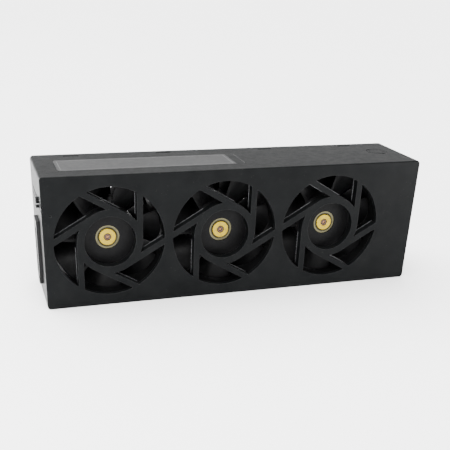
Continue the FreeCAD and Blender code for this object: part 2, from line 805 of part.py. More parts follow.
def stator_core(index):
    """Laminated four-pole core on the bearing tube."""
    body = fan_body("stator_core_" + FAN_NAMES[index], index)
    start = "core_middle - core_length / 2"
    shoes = front_sketch(body, start)
    circle(shoes, "0", "0", "core_radius")
    circle(shoes, "0", "0", "core_radius - shoe_thick")
    pad(body, shoes, "core_length", back=True)
    slot = front_sketch(body, start)
    turn_sketch(slot, f"180 / {POLE_COUNT}")
    rectangle(slot, "0", "0 - shoe_slot / 2", "core_radius + air_gap", "shoe_slot / 2")
    polar(body, [cut(body, slot, "core_length")], POLE_COUNT, (slot, ["N_Axis"]))
    tooth = front_sketch(body, start)
    rectangle(tooth, "core_bore", "0 - tooth_width / 2", "core_radius - shoe_thick / 2", "tooth_width / 2")
    polar(body, [pad(body, tooth, "core_length", back=True)], POLE_COUNT, (tooth, ["N_Axis"]))
    yoke_ring = front_sketch(body, start)
    circle(yoke_ring, "0", "0", "core_bore + core_back")
    pad(body, yoke_ring, "core_length", back=True)
    bore = circle(front_sketch(body, start), "0", "0", "core_bore")
    body.Tip = cut(body, bore, "core_length")


def stator_coils(index):
    """Four windings, one round each tooth of the core."""
    body = fan_body("stator_coils_" + FAN_NAMES[index], index)
    section = new_sketch(body, "YZ_Plane", out="coil_radius")
    rectangle(section, "core_middle - coil_length / 2", "0 - coil_width / 2",
              "core_middle + coil_length / 2", "coil_width / 2")
    rectangle(section, "core_middle - core_length / 2 - fit_clearance", "0 - tooth_width / 2 - fit_clearance",
              "core_middle + core_length / 2 + fit_clearance", "tooth_width / 2 + fit_clearance")
    coil = pad(body, section, "coil_thick")
    polar(body, [coil], POLE_COUNT, (origin_part(body, "Y_Axis"), [""]))


def driver_board(index):
    """Round circuit board closing the motor cup."""
    body = fan_body("driver_board_" + FAN_NAMES[index], index)
    disc = front_sketch(body, "cup_front - driver_thick")
    circle(disc, "0", "0", "driver_radius")
    circle(disc, "0", "0", "tube_radius + fit_clearance")
    body.Tip = pad(body, disc, "driver_thick", back=True)


# ---------------------------------------------------------------- fans: rotor pieces

def impeller(index):
    """Hub cup with seven cambered, twisted blades trimmed to the tip circle."""
    body = fan_body("impeller_" + FAN_NAMES[index], index)
    turned(body, [
        ("window_radius", "hub_setback"),
        ("hub_radius - hub_bevel", "hub_setback"),
        ("hub_radius", "hub_setback + hub_bevel"),
        ("hub_radius", "hub_setback + hub_length"),
        ("window_radius", "hub_setback + hub_length"),
    ])
    sections = []
    for plane, lead, trail, thick in (("root_plane", "root_lead", "root_trail", "root_thick"),
                                      ("tip_plane", "tip_lead", "tip_trail", "tip_thick")):
        section = new_sketch(body, "YZ_Plane", out=plane)
        bent_strip(section, ("blade_front", lead), ("blade_back", f"0 - {trail}"), thick, "blade_arc")
        sections.append(section)
    blade = body.newObject("PartDesign::AdditiveLoft", "Blade")
    blade.Profile = sections[0]
    blade.Sections = [sections[1]]
    polar(body, [blade], BLADE_COUNT, (origin_part(body, "Y_Axis"), [""]))
    rim = front_sketch(body)
    between_blades = f"(360 deg / {BLADE_COUNT} + asin(lead_edge / tip_radius) - asin(trail_edge / tip_radius)) / 2"
    turn_sketch(rim, between_blades)
    circle(rim, "0", "0", "tip_radius")
    circle(rim, "0", "0", "2 * tip_radius")
    cut(body, rim, "fan_depth")
    hollow = circle(front_sketch(body, "yoke_front"), "0", "0", "yoke_radius + press_clearance")
    body.Tip = cut(body, hollow, "fan_depth")


def rotor_yoke(index):
    """Pressed steel cup inside the hub."""
    body = fan_body("rotor_yoke_" + FAN_NAMES[index], index)
    body.Tip = turned(body, [
        ("bush_radius + press_clearance", "yoke_front"),
        ("yoke_radius", "yoke_front"),
        ("yoke_radius", "yoke_front + yoke_length"),
        ("yoke_radius - yoke_thick", "yoke_front + yoke_length"),
        ("yoke_radius - yoke_thick", "yoke_front + yoke_thick"),
        ("bush_radius + press_clearance", "yoke_front + yoke_thick"),
    ])


def rotor_magnet(index):
    body = fan_body("rotor_magnet_" + FAN_NAMES[index], index)
    body.Tip = turned(body, [
        ("magnet_outer - magnet_thick", "magnet_front"),
        ("magnet_outer", "magnet_front"),
        ("magnet_outer", "magnet_front + magnet_length"),
        ("magnet_outer - magnet_thick", "magnet_front + magnet_length"),
    ])


def hub_bush(index):
    """Brass bush that joins the yoke to the shaft, dished round the shaft's end."""
    body = fan_body("hub_bush_" + FAN_NAMES[index], index)
    bore = "shaft_radius + press_clearance"
    body.Tip = turned(body, [
        ("dimple_radius", "bush_front"),
        ("bush_radius - bush_chamfer", "bush_front"),
        ("bush_radius", "bush_front + bush_chamfer"),
        ("bush_radius", "bush_front + bush_length"),
        (bore, "bush_front + bush_length"),
        (bore, "bush_front + dimple_recess"),
        ("dimple_radius", "bush_front + dimple_recess"),
    ])


def fan_shaft(index):
    """Steel shaft, ending level with the yoke's face."""
    body = fan_body("fan_shaft_" + FAN_NAMES[index], index)
    body.Tip = turned(body, [
        ("0", "yoke_front"),
        ("shaft_radius", "yoke_front"),
        ("shaft_radius", "shaft_end"),
        ("0", "shaft_end"),
    ])


def shaft_clip(index):
    """Push-on retaining ring behind the rear bearing."""
    body = fan_body("shaft_clip_" + FAN_NAMES[index], index)
    body.Tip = turned(body, [
        ("shaft_radius + press_clearance", "clip_front"),
        ("clip_radius", "clip_front"),
        ("clip_radius", "clip_front + clip_thick"),
        ("shaft_radius + press_clearance", "clip_front + clip_thick"),
    ])


# ---------------------------------------------------------------- handle

def handle_lever():
    """Lever door on the right end: a plate with end webs, a hub on the pin and a locking hook."""
    body = new_body("handle_lever", "pivot_left", "pivot_front", "0")
    length = "lever_top - lever_base"
    hub = circle(new_sketch(body, "XY_Plane", out="lever_base"), "0", "0", "lever_hub")
    pad(body, hub, length)
    free = "lever_front - pivot_front"
    plate = new_sketch(body, "XY_Plane", out="lever_base")
    rectangle(plate, "plate_in", free, "plate_out", "0")
    pad(body, plate, length)
    lip = new_sketch(body, "XY_Plane", out="lever_base")
    polygon(lip, [
        ("plate_in", free),
        ("plate_in", f"{free} + lever_plate"),
        ("plate_out - lever_lip", f"{free} + lever_lip"),
        ("plate_out - lever_lip - lever_plate / 2", f"{free} + lever_lip - lever_plate / 2"),
    ])
    pad(body, lip, length)
    for height in ("lever_base", "lever_top - lever_web"):
        web = new_sketch(body, "XY_Plane", out=height)
        polygon(web, [
            ("plate_in", f"{free} + lever_plate"),
            ("plate_in", "0"),
            ("plate_out - lever_web_depth", "0"),
            ("plate_out - lever_web_depth", f"{free} / 2"),
            ("plate_out - lever_lip", f"{free} + lever_lip"),
        ])
        pad(body, web, "lever_web")
    hook = new_sketch(body, "XY_Plane", out="axis_height")
    polygon(hook, [
        ("0 - hook_thick / 2", "0"),
        ("hook_thick / 2", "0"),
        ("hook_thick / 2", "hook_tip - hook_thick / 2"),
        ("0", "hook_tip"),
        ("0 - hook_thick / 2", "hook_tip"),
    ])
    pad(body, hook, "hook_height", both=True)
    bore = new_sketch(body, "XY_Plane")
    circle(bore, "0", "0", "pin_radius + running_clearance")
    body.Tip = cut(body, bore, "case_height", back=True)


def handle_pin():
    body = new_body("handle_pin", "pivot_left", "pivot_front", "0")
    rod = circle(new_sketch(body, "XY_Plane", out="pin_base"), "0", "0", "pin_radius")
    body.Tip = pad(body, rod, "case_height - pin_roof - pin_base")


# ---------------------------------------------------------------- assembly

front_shell()
rear_cover()
label_blank()
isolators("front_isolators", True)
isolators("rear_isolators", False)
plug_block()
plug_contacts()
wiring_board()
fan_leads()
for fan in range(len(FAN_NAMES)):
    for make in (fan_frame, bearing_tube, bearings, stator_core, stator_coils, driver_board,
                 impeller, rotor_yoke, rotor_magnet, hub_bush, fan_shaft, shaft_clip):
        make(fan)
handle_lever()
handle_pin()

doc.recompute()
for item in doc.Objects:
    if {"Invalid", "Error"} & set(item.State):
        raise RuntimeError(f"{item.Label} was left {item.State}")

os.makedirs("parts", exist_ok=True)
for node_body in NODES:
    solid = node_body.Shape
    if solid.isNull() or not solid.isValid():
        raise RuntimeError(f"{node_body.Label} has no valid shape")
    solid.exportStep(f"parts/{node_body.Label}.step")
    print(node_body.Label, len(solid.Solids), round(solid.Volume, 1))
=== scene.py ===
import json
import math

import bmesh
import bpy
from mathutils import Euler, Matrix, Vector


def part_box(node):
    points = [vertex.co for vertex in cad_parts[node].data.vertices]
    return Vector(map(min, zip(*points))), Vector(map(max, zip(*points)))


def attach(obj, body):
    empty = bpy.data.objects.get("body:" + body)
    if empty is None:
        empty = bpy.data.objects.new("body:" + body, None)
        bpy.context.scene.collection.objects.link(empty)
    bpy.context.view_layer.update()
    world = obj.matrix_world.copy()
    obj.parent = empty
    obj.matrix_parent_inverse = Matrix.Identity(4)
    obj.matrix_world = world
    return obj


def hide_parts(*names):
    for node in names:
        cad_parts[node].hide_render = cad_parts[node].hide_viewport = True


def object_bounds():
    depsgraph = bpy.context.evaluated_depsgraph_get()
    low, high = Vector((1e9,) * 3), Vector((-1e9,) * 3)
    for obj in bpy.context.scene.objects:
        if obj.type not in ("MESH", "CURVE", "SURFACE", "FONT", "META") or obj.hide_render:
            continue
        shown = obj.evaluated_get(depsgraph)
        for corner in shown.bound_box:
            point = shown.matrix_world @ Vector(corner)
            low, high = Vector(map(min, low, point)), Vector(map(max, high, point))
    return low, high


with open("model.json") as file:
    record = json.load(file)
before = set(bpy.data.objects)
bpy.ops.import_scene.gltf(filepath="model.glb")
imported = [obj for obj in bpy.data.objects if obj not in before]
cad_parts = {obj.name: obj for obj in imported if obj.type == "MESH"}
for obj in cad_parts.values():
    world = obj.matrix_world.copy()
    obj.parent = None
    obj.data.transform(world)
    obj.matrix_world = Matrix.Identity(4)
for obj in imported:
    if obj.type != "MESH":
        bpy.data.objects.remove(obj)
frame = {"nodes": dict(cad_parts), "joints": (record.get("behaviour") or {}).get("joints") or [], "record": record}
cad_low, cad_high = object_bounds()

# A hot-swap server fan module: three axial fans in a snap-together casing with moulded intake
# guards. Lengths are in metres in the casing's frame: X along the module, Y from intake to
# exhaust, Z up.

MM = 0.001
FANS = ("left", "middle", "right")
AXES = {joint["child"]: Vector(joint["pos_m"]) for joint in frame["joints"]}
FAN_AXIS = {fan: AXES["rotor_" + fan] for fan in FANS}
FAN_PITCH = FAN_AXIS["middle"].x - FAN_AXIS["left"].x
BETWEEN_FANS = [FAN_AXIS["left"].x + gap * FAN_PITCH for gap in (0.5, 1.5)]
AXIS_HEIGHT = FAN_AXIS["left"].z


# ---------------------------------------------------------------- node helpers

def add_node(tree, kind, settings=None, **inputs):
    """A new node with its settings, and each input given a value or linked to a socket.

    An input is called by its name, or by i and its place where names repeat, such as i0.
    """
    made = tree.nodes.new(kind)
    for name, value in (settings or {}).items():
        setattr(made, name, value)
    for name, value in inputs.items():
        by_place = name[0] == "i" and name[1:].isdigit()
        socket = made.inputs[int(name[1:]) if by_place else name.replace("_", " ")]
        if isinstance(value, bpy.types.NodeSocket):
            tree.links.new(value, socket)
        else:
            socket.default_value = value
    return made


def math_node(tree, operation, *values, clamp=False):
    """The output of a Math node on one, two or three values."""
    inputs = {f"i{place}": value for place, value in enumerate(values)}
    settings = {"operation": operation, "use_clamp": clamp}
    return add_node(tree, "ShaderNodeMath", settings, **inputs).outputs[0]


def mix_colours(tree, share, first, second):
    """A colour mix from first to second, each a socket or a plain red, green and blue."""
    ends = [end if isinstance(end, bpy.types.NodeSocket) else (*end, 1.0)
            for end in (first, second)]
    # A Mix node's colour ends are its inputs 6 and 7, and its colour comes out at 2.
    mix = add_node(tree, "ShaderNodeMix", {"data_type": "RGBA"}, i0=share, i6=ends[0], i7=ends[1])
    return mix.outputs[2]


def mapped(tree, value, low, high, to_low=0.0, to_high=1.0):
    """A value taken from one range to another, held inside it."""
    made = add_node(tree, "ShaderNodeMapRange", i0=value, i1=low, i2=high, i3=to_low, i4=to_high)
    return made.outputs[0]


def object_place(tree):
    """The surface point in the piece's own frame, in metres."""
    return add_node(tree, "ShaderNodeTexCoord").outputs["Object"]


def surface_normal(tree):
    """The way that the surface faces."""
    return add_node(tree, "ShaderNodeNewGeometry").outputs["Normal"]


def noise(tree, place, scale, detail, roughness=0.5):
    """Noise from 0 to 1 with this many features to the metre."""
    made = add_node(tree, "ShaderNodeTexNoise", Vector=place, Scale=scale, Detail=detail,
                    Roughness=roughness)
    return made.outputs["Fac"]


def cell_distance(tree, place, scale):
    """The distance to the middle of the nearest of many scattered cells."""
    made = add_node(tree, "ShaderNodeTexVoronoi", {"feature": "F1"}, Vector=place, Scale=scale)
    return made.outputs["Distance"]


def bump(tree, height, distance, strength, normal=None):
    """The normal that a height gives."""
    made = add_node(tree, "ShaderNodeBump", Strength=strength, Distance=distance, Height=height)
    if normal is not None:
        tree.links.new(normal, made.inputs["Normal"])
    return made.outputs["Normal"]


def new_group(name, inputs, outputs):
    """An empty shader node group: its tree, and the sockets that it is given and that it fills."""
    tree = bpy.data.node_groups.new(name, "ShaderNodeTree")
    for socket_name, value in inputs.items():
        socket = tree.interface.new_socket(socket_name, in_out="INPUT",
                                           socket_type="NodeSocketFloat")
        socket.default_value = value
    for socket_name, kind in outputs.items():
        tree.interface.new_socket(socket_name, in_out="OUTPUT", socket_type=kind)
    given = tree.nodes.new("NodeGroupInput").outputs
    return tree, given, tree.nodes.new("NodeGroupOutput").inputs


def use_group(tree, group, **values):
    """A group placed in a material with its own values; its outputs."""
    made = tree.nodes.new("ShaderNodeGroup")
    made.node_tree = group
    for name, value in values.items():
        made.inputs[name.replace("_", " ")].default_value = value
    return made.outputs


# ---------------------------------------------------------------- shared surface effects

# Scales are features to the metre.
MOULDING_GRAIN = 2600.0
MOULDING_MOTTLE = 45.0
SPECKLE_SHARE = 0.6
STREAKS_PER_MOTTLE = 7.0
WEAR_SCALE = 900.0
WEAR_FLOOR = 0.25
SPECK_SCALE = 700.0
SPECK_PATCH_SCALE = 260.0
FILM_SCALE = 90.0
DUST_BELOW = 0.25
LATHE_PITCH = 0.2 * MM
LATHE_WAVE_SHARE = 0.5
LATHE_UNEVEN_SCALE = 3500.0


def moulded_grain_group():
    """Fine spark-eroded grain of a moulding, with slow tone and gloss changes across it."""
    tree, given, result = new_group(
        "moulded grain", {"Grain Scale": MOULDING_GRAIN, "Mottle Scale": MOULDING_MOTTLE},
        {"Height": "NodeSocketFloat", "Mottle": "NodeSocketFloat", "Gloss": "NodeSocketFloat"})
    place = object_place(tree)
    fine = noise(tree, place, given["Grain Scale"], 3.0, 0.6)
    speckle = cell_distance(tree, place, given["Grain Scale"])
    speckle = math_node(tree, "MULTIPLY", speckle, SPECKLE_SHARE)
    tree.links.new(math_node(tree, "ADD", fine, speckle), result["Height"])
    slow = noise(tree, place, given["Mottle Scale"], 3.0, 0.55)
    tree.links.new(mapped(tree, slow, 0.3, 0.7), result["Mottle"])
    streak_scale = math_node(tree, "MULTIPLY", given["Mottle Scale"], STREAKS_PER_MOTTLE)
    streaks = noise(tree, place, streak_scale, 4.0, 0.65)
    tree.links.new(mapped(tree, streaks, 0.35, 0.65), result["Gloss"])
    return tree


def worn_edge_group():
    """Rubbed edges: a broken mask along sharp corners, and the normal that softens them."""
    tree, given, result = new_group("worn edge", {"Radius": 0.4 * MM, "Amount": 0.6},
                                    {"Mask": "NodeSocketFloat", "Normal": "NodeSocketVector"})
    bevel = add_node(tree, "ShaderNodeBevel", {"samples": 6}, Radius=given["Radius"])
    soft = bevel.outputs["Normal"]
    alike = add_node(tree, "ShaderNodeVectorMath", {"operation": "DOT_PRODUCT"},
                     i0=soft, i1=surface_normal(tree)).outputs["Value"]
    corner = mapped(tree, math_node(tree, "SUBTRACT", 1.0, alike), 0.02, 0.22)
    broken = mapped(tree, noise(tree, object_place(tree), WEAR_SCALE, 4.0, 0.7), 0.4, 0.62)
    rubbed = math_node(tree, "MULTIPLY", corner, math_node(tree, "ADD", broken, WEAR_FLOOR))
    mask = math_node(tree, "MULTIPLY", rubbed, given["Amount"], clamp=True)
    tree.links.new(mask, result["Mask"])
    tree.links.new(soft, result["Normal"])
    return tree


def dust_group():
    """Fine dust: scattered specks and a thin film, thicker on what faces up."""
    tree, given, result = new_group("dust", {"Specks": 0.5, "Film": 0.2},
                                    {"Mask": "NodeSocketFloat"})
    place = object_place(tree)
    dots = mapped(tree, cell_distance(tree, place, SPECK_SCALE), 0.16, 0.08)
    seldom = mapped(tree, noise(tree, place, SPECK_PATCH_SCALE, 2.0), 0.56, 0.66)
    specks = math_node(tree, "MULTIPLY", math_node(tree, "MULTIPLY", dots, seldom),
                       given["Specks"])
    cloudy = mapped(tree, noise(tree, place, FILM_SCALE, 5.0, 0.6), 0.35, 0.75)
    film = math_node(tree, "MULTIPLY", cloudy, given["Film"])
    up = add_node(tree, "ShaderNodeSeparateXYZ", Vector=surface_normal(tree)).outputs["Z"]
    facing = mapped(tree, up, -0.6, 1.0, DUST_BELOW, 1.0)
    total = math_node(tree, "MULTIPLY", math_node(tree, "ADD", specks, film), facing, clamp=True)
    tree.links.new(total, result["Mask"])
    return tree


def turned_rings_group():
    """Lathe marks: rings round the nearest fan axis, and the distance from it in metres."""
    tree, given, result = new_group("turned rings", {"Ring Pitch": LATHE_PITCH},
                                    {"Height": "NodeSocketFloat", "Distance": "NodeSocketFloat"})
    place = add_node(tree, "ShaderNodeSeparateXYZ", Vector=object_place(tree)).outputs
    start = FAN_AXIS["left"].x - FAN_PITCH / 2
    wrapped = math_node(tree, "WRAP", place["X"], start + FAN_PITCH, start)
    across = math_node(tree, "SUBTRACT", wrapped, FAN_AXIS["left"].x)
    above = math_node(tree, "SUBTRACT", place["Z"], AXIS_HEIGHT)
    square = math_node(tree, "ADD", math_node(tree, "MULTIPLY", across, across),
                       math_node(tree, "MULTIPLY", above, above))
    distance = math_node(tree, "SQRT", square)
    turns = math_node(tree, "DIVIDE", distance, given["Ring Pitch"])
    wave = math_node(tree, "SINE", math_node(tree, "MULTIPLY", turns, math.tau))
    wave = math_node(tree, "MULTIPLY", wave, LATHE_WAVE_SHARE)
    uneven = noise(tree, object_place(tree), LATHE_UNEVEN_SCALE, 3.0, 0.6)
    tree.links.new(math_node(tree, "ADD", wave, uneven), result["Height"])
    tree.links.new(distance, result["Distance"])
    return tree


GRAIN = moulded_grain_group()
WORN_EDGE = worn_edge_group()
DUST = dust_group()
TURNED_RINGS = turned_rings_group()


# ---------------------------------------------------------------- kinds of finish

METAL_GRAIN = 1800.0
METAL_MOTTLE = 260.0
FINE_MOTTLE = 120.0
MOULDING_EDGE = 0.4 * MM
FINE_EDGE = 0.2 * MM
METAL_WEAR = 0.6
FINE_WEAR = 0.35
MOULDING_RELIEF = 0.06 * MM
FINE_RELIEF = 0.05 * MM
LATHE_RELIEF = 0.02 * MM
LATHE_STRENGTH = 0.2
WORN_TINT = (1.0, 1.01, 1.03)
DUST_COLOUR = (0.24, 0.23, 0.21)
FILM_SHARE = 0.12
DUST_ROUGHENS = 0.4
BRIGHT_METAL = 1.25
STAINED_METAL = 0.6
RUBBED_GAIN = 1.8
RUBBED_LIFT = 0.02
WINDOW_EDGE = 4.9 * MM
WINDOW_LAND = 5.5 * MM
STEEL_LATHE_PITCH = 0.25 * MM


def new_material(name, **plain):
    """A material, its tree and its Principled shader with plain values set on the sockets."""
    material = bpy.data.materials.new(name)
    material.use_nodes = True
    tree = material.node_tree
    shader = tree.nodes["Principled BSDF"]
    for socket, value in plain.items():
        shader.inputs[socket.replace("_", " ")].default_value = value
    return material, tree, shader


def link_finish(tree, shader, tone, gloss, normal):
    """Links a finish's colour, roughness and normal to its shader."""
    tree.links.new(tone, shader.inputs["Base Color"])
    tree.links.new(gloss, shader.inputs["Roughness"])
    tree.links.new(normal, shader.inputs["Normal"])


def scaled(colour, gain, lift=0.0):
    """A colour made brighter or darker, and no channel over 1."""
    return tuple(min(1.0, channel * gain + lift) for channel in colour)


def moulded_plastic(name, dark, light, smooth, rough, rubbed, dust, grain=0.25, edge=0.5,
                    specular=0.12):
    """A moulded plastic: grain, slow tone changes, rubbed edges and a little dust."""
    material, tree, shader = new_material(name, Specular_IOR_Level=specular)
    grains = use_group(tree, GRAIN, Grain_Scale=MOULDING_GRAIN, Mottle_Scale=MOULDING_MOTTLE)
    edges = use_group(tree, WORN_EDGE, Amount=edge, Radius=MOULDING_EDGE)
    dusty = use_group(tree, DUST, Specks=dust, Film=dust * FILM_SHARE)
    tone = mix_colours(tree, grains["Mottle"], dark, light)
    tone = mix_colours(tree, edges["Mask"], tone, [rubbed * tint for tint in WORN_TINT])
    tone = mix_colours(tree, dusty["Mask"], tone, DUST_COLOUR)
    gloss = mapped(tree, grains["Gloss"], 0.0, 1.0, smooth, rough)
    dulled = math_node(tree, "MULTIPLY", dusty["Mask"], DUST_ROUGHENS)
    gloss = math_node(tree, "ADD", gloss, dulled, clamp=True)
    normal = bump(tree, grains["Height"], MOULDING_RELIEF, grain, edges["Normal"])
    link_finish(tree, shader, tone, gloss, normal)
    return material


def turned_metal(name, colour, tarnish, smooth, rough):
    """A turned metal: lathe rings, tarnish patches and bright rubbed edges."""
    material, tree, shader = new_material(name, Metallic=1.0)
    rings = use_group(tree, TURNED_RINGS, Ring_Pitch=LATHE_PITCH)
    grains = use_group(tree, GRAIN, Grain_Scale=METAL_GRAIN, Mottle_Scale=METAL_MOTTLE)
    edges = use_group(tree, WORN_EDGE, Amount=METAL_WEAR, Radius=FINE_EDGE)
    tone = mix_colours(tree, mapped(tree, grains["Mottle"], 0.35, 1.0), colour, tarnish)
    tone = mix_colours(tree, edges["Mask"], tone, scaled(colour, BRIGHT_METAL))
    gloss = mapped(tree, grains["Gloss"], 0.0, 1.0, smooth, rough)
    normal = bump(tree, rings["Height"], LATHE_RELIEF, LATHE_STRENGTH, edges["Normal"])
    link_finish(tree, shader, tone, gloss, normal)
    return material


def window_steel(name, colour, shade, smooth, rough):
    """Plated steel darkened round the bush's window by painted shade, as if the gap there were in shadow."""
    material, tree, shader = new_material(name, Metallic=1.0)
    rings = use_group(tree, TURNED_RINGS, Ring_Pitch=STEEL_LATHE_PITCH)
    grains = use_group(tree, GRAIN, Grain_Scale=METAL_GRAIN, Mottle_Scale=METAL_MOTTLE)
    # Painted shade: dark inside the window's edge, turning to the steel's own colour by the land.
    land = mapped(tree, rings["Distance"], WINDOW_EDGE, WINDOW_LAND)
    tone = mix_colours(tree, land, shade, colour)
    stains = mapped(tree, grains["Mottle"], 0.5, 1.0, 0.0, 0.7)
    tone = mix_colours(tree, stains, tone, scaled(colour, STAINED_METAL))
    gloss = mapped(tree, grains["Gloss"], 0.0, 1.0, smooth, rough)
    normal = bump(tree, rings["Height"], LATHE_RELIEF, LATHE_STRENGTH)
    link_finish(tree, shader, tone, gloss, normal)
    return material


def plain_finish(name, dark, light, smooth, rough, scale=900.0, depth=0.3, metallic=0.0):
    """A fine-grained finish for small pieces: wire, ferrite, rubber, lacquer and sleeving."""
    material, tree, shader = new_material(name, Metallic=metallic)
    grains = use_group(tree, GRAIN, Grain_Scale=scale, Mottle_Scale=FINE_MOTTLE)
    edges = use_group(tree, WORN_EDGE, Amount=FINE_WEAR, Radius=FINE_EDGE)
    tone = mix_colours(tree, grains["Mottle"], dark, light)
    tone = mix_colours(tree, edges["Mask"], tone, scaled(light, RUBBED_GAIN, RUBBED_LIFT))
    gloss = mapped(tree, grains["Gloss"], 0.0, 1.0, smooth, rough)
    normal = bump(tree, grains["Height"], FINE_RELIEF, depth, edges["Normal"])
    link_finish(tree, shader, tone, gloss, normal)
    return material


# ---------------------------------------------------------------- finishes

# Each finish has two tones, then the roughness of its smoothest and roughest places.

CHARCOAL = {"dark": (0.0021, 0.0024, 0.0026), "light": (0.0027, 0.0031, 0.0034),
            "smooth": 0.30, "rough": 0.37, "rubbed": 0.05, "dust": 0.12, "specular": 0.045}

FINISHES = {
    "shell_plastic": moulded_plastic("charcoal shell plastic", **CHARCOAL),
    "cover_plastic": moulded_plastic("charcoal cover plastic", **CHARCOAL),
    "lever_plastic": moulded_plastic(
        "charcoal lever plastic", (0.0038, 0.0041, 0.0044), (0.0048, 0.0052, 0.0056), 0.32, 0.42,
        rubbed=0.05, dust=0.10, specular=0.07),
    "plug_plastic": moulded_plastic(
        "black plug plastic", (0.0045, 0.0045, 0.0050), (0.0065, 0.0065, 0.0070), 0.28, 0.38,
        rubbed=0.05, dust=0.10, specular=0.18),
    "frame_plastic": moulded_plastic(
        "black fan frame plastic", (0.0024, 0.0025, 0.0027), (0.0034, 0.0035, 0.0038), 0.46, 0.58,
        rubbed=0.02, dust=0.06, edge=0.3, specular=0.04),
    "blade_plastic": moulded_plastic(
        "satin black impeller plastic", (0.0036, 0.0036, 0.0038), (0.0046, 0.0046, 0.0050),
        0.34, 0.46, rubbed=0.03, dust=0.06, grain=0.08, edge=0.4, specular=0.06),
    "label_film": moulded_plastic(
        "grey label film", (0.0160, 0.0164, 0.0168), (0.0190, 0.0194, 0.0198), 0.30, 0.36,
        rubbed=0.2, dust=0.2, grain=0.08, edge=0.2),
    "contact_brass": turned_metal(
        "plated contact", (0.83, 0.62, 0.27), (0.70, 0.48, 0.20), 0.22, 0.34),
    "tube_brass": turned_metal(
        "turned tube brass", (0.78, 0.60, 0.28), (0.62, 0.44, 0.19), 0.26, 0.40),
    "bush_brass": turned_metal(
        "turned bush brass", (0.32, 0.23, 0.024), (0.25, 0.175, 0.019), 0.30, 0.42),
    # The yoke's second tone is painted shade round the bush's window.
    "yoke_steel": window_steel(
        "zinc plated yoke steel", (0.105, 0.098, 0.056), (0.022, 0.019, 0.012), 0.36, 0.50),
    "bearing_steel": turned_metal(
        "ground bearing steel", (0.60, 0.60, 0.60), (0.52, 0.52, 0.53), 0.16, 0.26),
    "core_steel": turned_metal(
        "laminated core steel", (0.34, 0.34, 0.36), (0.24, 0.24, 0.26), 0.38, 0.55),
    "shaft_steel": turned_metal(
        "ground shaft steel", (0.20, 0.105, 0.055), (0.13, 0.070, 0.040), 0.28, 0.40),
    "pin_steel": turned_metal(
        "turned pin steel", (0.55, 0.55, 0.55), (0.46, 0.46, 0.47), 0.24, 0.34),
    "clip_steel": turned_metal(
        "spring ring steel", (0.40, 0.40, 0.42), (0.30, 0.30, 0.32), 0.30, 0.42),
    "coil_copper": plain_finish(
        "lacquered copper wire", (0.52, 0.20, 0.07), (0.66, 0.28, 0.10), 0.24, 0.36,
        metallic=1.0, depth=0.1),
    "magnet_ferrite": plain_finish(
        "bonded ferrite", (0.030, 0.030, 0.032), (0.050, 0.050, 0.052), 0.55, 0.72),
    "isolator_rubber": plain_finish(
        "soft black rubber", (0.012, 0.012, 0.012), (0.020, 0.020, 0.020), 0.66, 0.82,
        scale=1500.0),
    "lead_sleeve": plain_finish(
        "black lead sleeve", (0.010, 0.010, 0.010), (0.016, 0.016, 0.017), 0.42, 0.55),
    "board_laminate": plain_finish(
        "green board lacquer", (0.010, 0.085, 0.030), (0.016, 0.120, 0.042), 0.26, 0.38,
        depth=0.12),
}

PRINTED_LINE = plain_finish(
    "pale printed line", (0.050, 0.050, 0.050), (0.065, 0.065, 0.065), 0.36, 0.46, depth=0.05)
SOLDERED_METAL = plain_finish(
    "tinned metal", (0.50, 0.50, 0.50), (0.66, 0.66, 0.66), 0.24, 0.40, metallic=1.0, depth=0.08)
# Painted highlight: a pale plastic for the beads on the struts' rear edges, standing in for the light that those
# edges catch.
PAINTED_HIGHLIGHT_EDGE = plain_finish(
    "painted highlight plastic edge", (0.030, 0.031, 0.033), (0.045, 0.046, 0.049), 0.22, 0.32, depth=0.05)
RETAINING_LACQUER = plain_finish(
    "dark retaining lacquer", (0.035, 0.014, 0.006), (0.055, 0.022, 0.010), 0.30, 0.40, depth=0.1)
LEAD_COLOURS = {
    "black": FINISHES["lead_sleeve"],
    "red": plain_finish(
        "red wire sleeve", (0.30, 0.012, 0.010), (0.38, 0.018, 0.014), 0.34, 0.46),
    "yellow": plain_finish(
        "yellow wire sleeve", (0.52, 0.36, 0.020), (0.60, 0.42, 0.030), 0.34, 0.46),
    "blue": plain_finish(
        "blue wire sleeve", (0.015, 0.050, 0.240), (0.022, 0.070, 0.300), 0.34, 0.46),
}


def dress_nodes():
    """Every CAD node takes the finish of its material slot."""
    for part in frame["record"]["subparts"]:
        shape = frame["nodes"][part["node"]].data
        shape.materials.clear()
        shape.materials.append(FINISHES[part["material_slot"]])


dress_nodes()


# ---------------------------------------------------------------- piece helpers

def finished_piece(name, shape, body, slot, finish=None, smooth=False):
    """A new piece from a bmesh, which rides on a body and takes its slot's finish or another."""
    mesh = bpy.data.meshes.new(name)
    bmesh.ops.recalc_face_normals(shape, faces=shape.faces)
    for face in shape.faces:
        face.smooth = smooth
    shape.to_mesh(mesh)
    shape.free()
    mesh.materials.append(finish or FINISHES[slot])
    made = bpy.data.objects.new(name, mesh)
    bpy.context.scene.collection.objects.link(made)
    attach(made, body)
    return made


def add_block(shape, low, high, bevel=0.0):
    """A block between two corners with eased edges."""
    middle = (Vector(low) + Vector(high)) / 2
    size = Vector(high) - Vector(low)
    place = Matrix.Translation(middle) @ Matrix.Diagonal((*size, 1.0))
    made = bmesh.ops.create_cube(shape, size=1.0, matrix=place)["verts"]
    if bevel:
        edges = {edge for vert in made for edge in vert.link_edges}
        bmesh.ops.bevel(shape, geom=list(edges), offset=bevel, segments=2, profile=0.5,
                        affect="EDGES")


def add_placed_block(shape, place, low, high, bevel=0.0):
    """A block made between two corners of a frame of its own, then put in its place."""
    before = len(shape.verts)
    add_block(shape, low, high, bevel)
    shape.verts.ensure_lookup_table()
    bmesh.ops.transform(shape, matrix=place, verts=shape.verts[before:])


